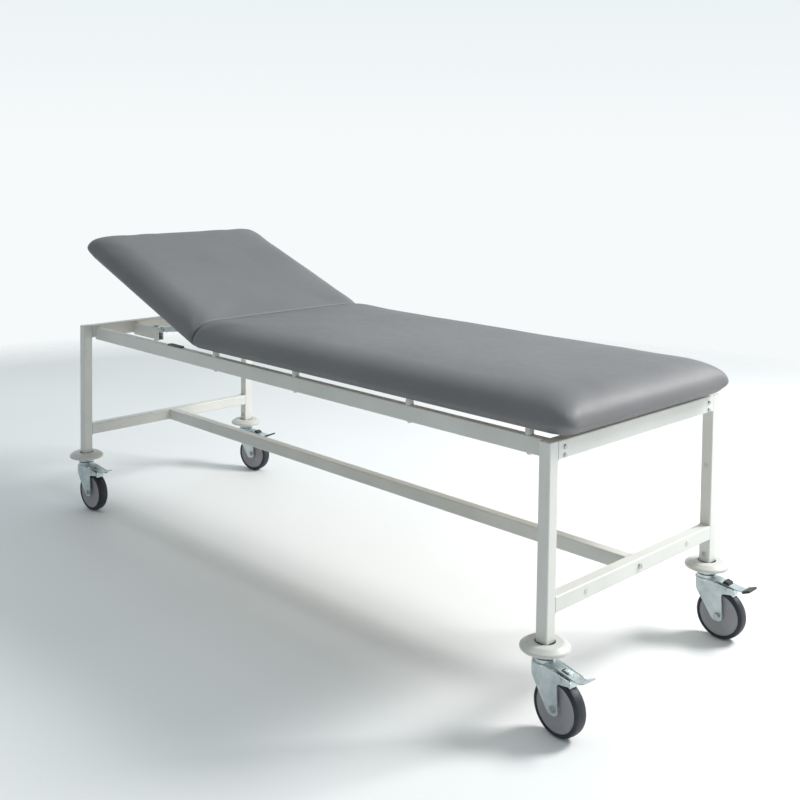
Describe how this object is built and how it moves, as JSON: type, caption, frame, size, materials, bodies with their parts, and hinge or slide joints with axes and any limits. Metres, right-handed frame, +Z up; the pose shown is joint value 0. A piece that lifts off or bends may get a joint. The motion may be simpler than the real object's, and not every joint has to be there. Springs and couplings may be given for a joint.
{
  "type": "stretcher trolley",
  "caption": "Wheeled stretcher couch: square-tube frame, padded bed with a raising head section, braked swivel casters with bumper discs.",
  "frame": {"origin": "on the floor, under the middle of the whole trolley", "axes": "+X from the head end to the foot end, +Y across, +Z up"},
  "size_m": [2.111, 0.779, 0.932],
  "materials": {
    "painted_tube": "satin powder coat",
    "zinc": "bright zinc plate",
    "steel": "plain steel",
    "vinyl": "vinyl-coated upholstery fabric, matt",
    "board": "plywood",
    "white_plastic": "moulded plastic",
    "black_plastic": "moulded plastic",
    "rubber": "rubber",
    "tyre": "soft rubber tread",
    "hub_plastic": "moulded plastic"
  },
  "bodies": {
    "root": {"leg_head_near": "painted_tube", "leg_head_far": "painted_tube", "leg_foot_near": "painted_tube", "leg_foot_far": "painted_tube", "head_rail": "painted_tube", "foot_rail": "painted_tube", "side_rail_near": "painted_tube", "side_rail_far": "painted_tube", "head_stretcher": "painted_tube", "foot_stretcher": "painted_tube", "long_stretcher": "painted_tube", "plastic_plugs": "white_plastic", "rail_end_blocks": "steel", "rail_screws": "steel", "frame_bolts": "steel", "pad_spacers": "painted_tube", "pad_bolts": "steel", "rest_buffers": "rubber", "main_board": "board", "main_pad": "vinyl", "fixed_hinge_leaves": "zinc", "strut_tubes": "painted_tube", "lower_brackets": "zinc", "strut_bolts": "steel", "caster_sockets": "steel", "caster_stems": "zinc", "swivel_balls": "steel"},
    "head_section": {"head_board": "board", "head_pad": "vinyl", "moving_hinge_leaves": "zinc", "headrest_pins": "steel", "upper_brackets": "zinc"},
    "strut_lower_halves": {"strut_channels": "zinc"},
    "strut_upper_halves": {"strut_rods": "zinc"},
    "head_near_bumper": {"head_near_bumper_disc": "white_plastic"},
    "head_near_caster": {"head_near_fork": "zinc", "head_near_fork_pins": "steel"},
    "head_near_wheel": {"head_near_hub": "hub_plastic", "head_near_tyre": "tyre"},
    "head_near_brake": {"head_near_brake_pedal": "zinc"},
    "head_far_bumper": {"head_far_bumper_disc": "white_plastic"},
    "head_far_caster": {"head_far_fork": "zinc", "head_far_fork_pins": "steel"},
    "head_far_wheel": {"head_far_hub": "hub_plastic", "head_far_tyre": "tyre"},
    "head_far_brake": {"head_far_brake_pedal": "zinc", "head_far_pedal_cap": "black_plastic"},
    "foot_near_bumper": {"foot_near_bumper_disc": "white_plastic"},
    "foot_near_caster": {"foot_near_fork": "zinc", "foot_near_fork_pins": "steel"},
    "foot_near_wheel": {"foot_near_hub": "hub_plastic", "foot_near_tyre": "tyre"},
    "foot_near_brake": {"foot_near_brake_pedal": "zinc"},
    "foot_far_bumper": {"foot_far_bumper_disc": "white_plastic"},
    "foot_far_caster": {"foot_far_fork": "zinc", "foot_far_fork_pins": "steel"},
    "foot_far_wheel": {"foot_far_hub": "hub_plastic", "foot_far_tyre": "tyre"},
    "foot_far_brake": {"foot_far_brake_pedal": "zinc", "foot_far_pedal_cap": "black_plastic"}
  },
  "joints": [
    {"name": "headrest_raise", "type": "hinge", "parent": "root", "child": "head_section", "pos_m": [-0.375, 0, 0.623], "axis": [0, 1, 0], "range_deg": [-20.4, 20.6]},
    {"name": "strut_foot_turn", "type": "hinge", "parent": "root", "child": "strut_lower_halves", "pos_m": [-0.817, 0, 0.606], "axis": [0, -1, 0], "range_deg": [-6.35, 6.41]},
    {"name": "strut_head_turn", "type": "hinge", "parent": "head_section", "child": "strut_upper_halves", "pos_m": [-0.48124, 0, 0.65291], "axis": [0, -1, 0], "range_deg": [-26.75, 27.01]},
    {"name": "head_near_bumper_turn", "type": "hinge", "parent": "root", "child": "head_near_bumper", "pos_m": [-1, -0.335, 0.176], "axis": [0, 0, 1], "continuous": true},
    {"name": "head_near_swivel", "type": "hinge", "parent": "root", "child": "head_near_caster", "pos_m": [-1, -0.335, 0.15], "axis": [0, 0, 1], "continuous": true},
    {"name": "head_near_wheel_roll", "type": "hinge", "parent": "head_near_caster", "child": "head_near_wheel", "pos_m": [-0.9571, -0.332, 0.0625], "axis": [-0.0698, 0.9976, 0], "continuous": true},
    {"name": "head_near_brake_press", "type": "hinge", "parent": "head_near_caster", "child": "head_near_brake", "pos_m": [-0.93815, -0.33067, 0.133], "axis": [-0.0698, 0.9976, 0], "range_deg": [0, 6]},
    {"name": "head_far_bumper_turn", "type": "hinge", "parent": "root", "child": "head_far_bumper", "pos_m": [-1, 0.335, 0.176], "axis": [0, 0, 1], "continuous": true},
    {"name": "head_far_swivel", "type": "hinge", "parent": "root", "child": "head_far_caster", "pos_m": [-1, 0.335, 0.15], "axis": [0, 0, 1], "continuous": true},
    {"name": "head_far_wheel_roll", "type": "hinge", "parent": "head_far_caster", "child": "head_far_wheel", "pos_m": [-0.95802, 0.34431, 0.0625], "axis": [-0.2164, 0.9763, 0], "continuous": true},
    {"name": "head_far_brake_press", "type": "hinge", "parent": "head_far_caster", "child": "head_far_brake", "pos_m": [-0.93947, 0.34842, 0.133], "axis": [-0.2164, 0.9763, 0], "range_deg": [0, 6]},
    {"name": "foot_near_bumper_turn", "type": "hinge", "parent": "root", "child": "foot_near_bumper", "pos_m": [0.93, -0.335, 0.176], "axis": [0, 0, 1], "continuous": true},
    {"name": "foot_near_swivel", "type": "hinge", "parent": "root", "child": "foot_near_caster", "pos_m": [0.93, -0.335, 0.15], "axis": [0, 0, 1], "continuous": true},
    {"name": "foot_near_wheel_roll", "type": "hinge", "parent": "foot_near_caster", "child": "foot_near_wheel", "pos_m": [0.97289, -0.338, 0.0625], "axis": [0.0698, 0.9976, 0], "continuous": true},
    {"name": "foot_near_brake_press", "type": "hinge", "parent": "foot_near_caster", "child": "foot_near_brake", "pos_m": [0.99185, -0.33932, 0.133], "axis": [0.0698, 0.9976, 0], "range_deg": [0, 6]},
    {"name": "foot_far_bumper_turn", "type": "hinge", "parent": "root", "child": "foot_far_bumper", "pos_m": [0.93, 0.335, 0.176], "axis": [0, 0, 1], "continuous": true},
    {"name": "foot_far_swivel", "type": "hinge", "parent": "root", "child": "foot_far_caster", "pos_m": [0.93, 0.335, 0.15], "axis": [0, 0, 1], "continuous": true},
    {"name": "foot_far_wheel_roll", "type": "hinge", "parent": "foot_far_caster", "child": "foot_far_wheel", "pos_m": [0.97298, 0.33613, 0.0625], "axis": [-0.0262, 0.9997, 0], "continuous": true},
    {"name": "foot_far_brake_press", "type": "hinge", "parent": "foot_far_caster", "child": "foot_far_brake", "pos_m": [0.99198, 0.33662, 0.133], "axis": [-0.0262, 0.9997, 0], "range_deg": [0, 6]}
  ],
  "couplings": [
    {"joint": "strut_foot_turn", "follows": "headrest_raise", "ratio": 0.287},
    {"joint": "strut_head_turn", "follows": "headrest_raise", "ratio": 1.287}
  ]
}
